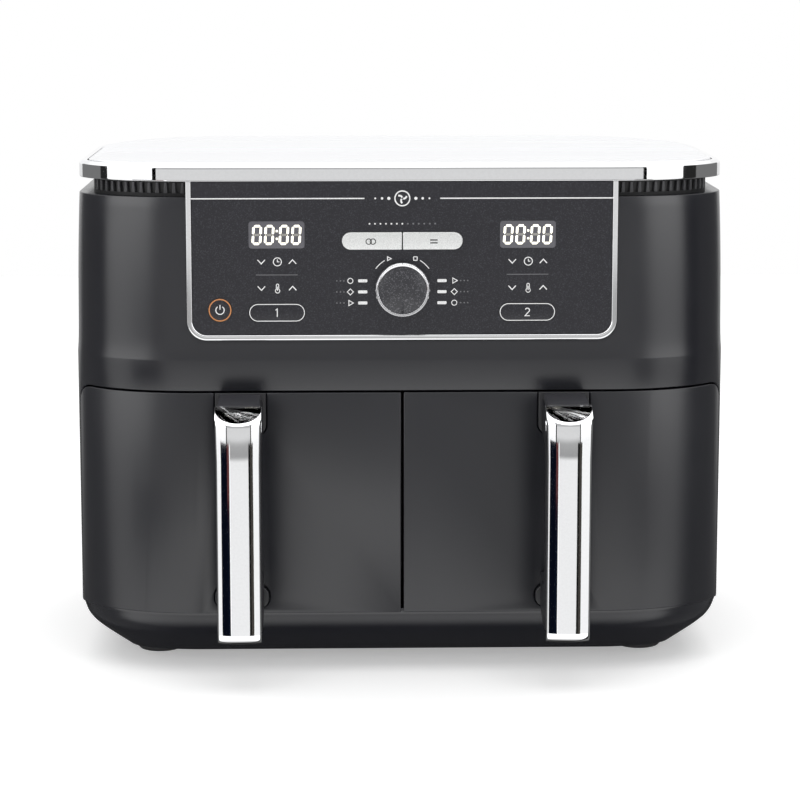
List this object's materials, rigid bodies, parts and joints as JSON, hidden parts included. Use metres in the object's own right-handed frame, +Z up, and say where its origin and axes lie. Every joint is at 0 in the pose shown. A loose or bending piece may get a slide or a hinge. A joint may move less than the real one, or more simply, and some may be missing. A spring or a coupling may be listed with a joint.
{
  "type": "dual-drawer air fryer",
  "caption": "Countertop air fryer with side-by-side pull-out drawers, upright chrome-faced handles, a framed control panel with dial and displays, and a flat metal lid over a vent collar.",
  "frame": {"origin": "centre of the overall box at the height of the table the feet stand on", "axes": "+Z up, -Y out of the drawer faces and control panel, +X to the right seen from the front"},
  "size_m": [0.415, 0.324, 0.325],
  "materials": {
    "shell_plastic": "fine satin texture, charcoal",
    "drawer_plastic": "fine satin texture, charcoal",
    "black_plastic": "matt black",
    "handle_plastic": "matt black",
    "cap_plastic": "satin dark grey with a sunk numeral",
    "foot_rubber": "matt black",
    "lid_steel": "pale satin metal",
    "bright_chrome": "mirror polished",
    "dial_chrome": "satin chrome",
    "panel_gloss": "dark speckled film with pale line graphics",
    "display_window": "smoked window with pale segment digits",
    "display_white": "white moulded reflector",
    "board_green": "lacquered circuit board with parts",
    "chamber_steel": "pressed aluminised sheet",
    "heater_alloy": "oxidised heater tube",
    "motor_steel": "zinc plated",
    "fan_aluminium": "stamped sheet",
    "shaft_steel": "bright turned steel",
    "dial_face": "dark speckled face",
    "silver_key": "silver satin, bevelled edge",
    "basket_coating": "dark ceramic non-stick coat",
    "silicone": "soft dark silicone"
  },
  "bodies": {
    "housing": {"base_tray": "shell_plastic", "feet": "foot_rubber", "outer_shell": "shell_plastic", "rear_cover": "shell_plastic", "vent_collar": "black_plastic", "lid_panel": "lid_steel", "lid_trim": "bright_chrome", "front_frame": "black_plastic", "panel_trim": "bright_chrome", "control_panel": "panel_gloss", "display_lens_1": "display_window", "display_lens_2": "display_window", "display_modules": "display_white", "control_board": "board_green", "power_board": "board_green", "chamber_1": "chamber_steel", "chamber_2": "chamber_steel", "heater_1": "heater_alloy", "heater_2": "heater_alloy", "fan_motor_1": "motor_steel", "fan_motor_2": "motor_steel", "temperature_sensors": "shaft_steel", "drawer_switches": "black_plastic", "cord_gland": "foot_rubber", "rear_spacers": "foot_rubber", "housing_screws": "shaft_steel", "encoder_body": "motor_steel"},
    "dial_plunger": {"encoder_plunger": "motor_steel"},
    "dial": {"dial_shaft": "shaft_steel", "dial_knob": "dial_face", "dial_ring": "dial_chrome"},
    "sync_key": {"sync_button": "silver_key"},
    "match_key": {"match_button": "silver_key"},
    "zone_key_1": {"zone_button_1": "panel_gloss"},
    "zone_key_2": {"zone_button_2": "panel_gloss"},
    "power_key": {"power_button": "panel_gloss"},
    "fan_1": {"fan_shaft_1": "shaft_steel", "convection_fan_1": "fan_aluminium", "cooling_fan_1": "black_plastic"},
    "fan_2": {"fan_shaft_2": "shaft_steel", "convection_fan_2": "fan_aluminium", "cooling_fan_2": "black_plastic"},
    "drawer_1": {"drawer_front_1": "drawer_plastic", "basket_1": "basket_coating", "handle_body_1": "handle_plastic", "handle_trim_1": "bright_chrome", "handle_cap_1": "cap_plastic", "drawer_gasket_1": "silicone", "drawer_screws_1": "shaft_steel"},
    "drawer_2": {"drawer_front_2": "drawer_plastic", "basket_2": "basket_coating", "handle_body_2": "handle_plastic", "handle_trim_2": "bright_chrome", "handle_cap_2": "cap_plastic", "drawer_gasket_2": "silicone", "drawer_screws_2": "shaft_steel"},
    "crisper_1": {"crisper_plate_1": "basket_coating", "plate_bumpers_1": "silicone"},
    "crisper_2": {"crisper_plate_2": "basket_coating", "plate_bumpers_2": "silicone"}
  },
  "joints": [
    {"name": "drawer_1_slide", "type": "slide", "parent": "housing", "child": "drawer_1", "axis": [0, -1, 0], "range_m": [0, 0.22]},
    {"name": "drawer_2_slide", "type": "slide", "parent": "housing", "child": "drawer_2", "axis": [0, -1, 0], "range_m": [0, 0.22]},
    {"name": "crisper_1_lift", "type": "slide", "parent": "drawer_1", "child": "crisper_1", "axis": [0, 0, 1], "range_m": [0, 0.1]},
    {"name": "crisper_2_lift", "type": "slide", "parent": "drawer_2", "child": "crisper_2", "axis": [0, 0, 1], "range_m": [0, 0.1]},
    {"name": "dial_press", "type": "slide", "parent": "housing", "child": "dial_plunger", "axis": [0, 1, 0], "range_m": [0, 0.0008], "stiffness_N_per_m": 400, "springref_m": -0.002},
    {"name": "dial_turn", "type": "hinge", "parent": "dial_plunger", "child": "dial", "pos_m": [0, -0.114, 0.247], "axis": [0, 1, 0], "continuous": true},
    {"name": "sync_press", "type": "slide", "parent": "housing", "child": "sync_key", "axis": [0, 1, 0], "range_m": [0, 0.0008], "stiffness_N_per_m": 300, "springref_m": -0.002},
    {"name": "match_press", "type": "slide", "parent": "housing", "child": "match_key", "axis": [0, 1, 0], "range_m": [0, 0.0008], "stiffness_N_per_m": 300, "springref_m": -0.002},
    {"name": "zone_1_press", "type": "slide", "parent": "housing", "child": "zone_key_1", "axis": [0, 1, 0], "range_m": [0, 0.0008], "stiffness_N_per_m": 300, "springref_m": -0.002},
    {"name": "zone_2_press", "type": "slide", "parent": "housing", "child": "zone_key_2", "axis": [0, 1, 0], "range_m": [0, 0.0008], "stiffness_N_per_m": 300, "springref_m": -0.002},
    {"name": "power_press", "type": "slide", "parent": "housing", "child": "power_key", "axis": [0, 1, 0], "range_m": [0, 0.0008], "stiffness_N_per_m": 300, "springref_m": -0.002},
    {"name": "fan_1_spin", "type": "hinge", "parent": "housing", "child": "fan_1", "pos_m": [-0.103, 0.024, 0.24], "axis": [0, 0, 1], "continuous": true},
    {"name": "fan_2_spin", "type": "hinge", "parent": "housing", "child": "fan_2", "pos_m": [0.103, 0.024, 0.24], "axis": [0, 0, 1], "continuous": true}
  ]
}
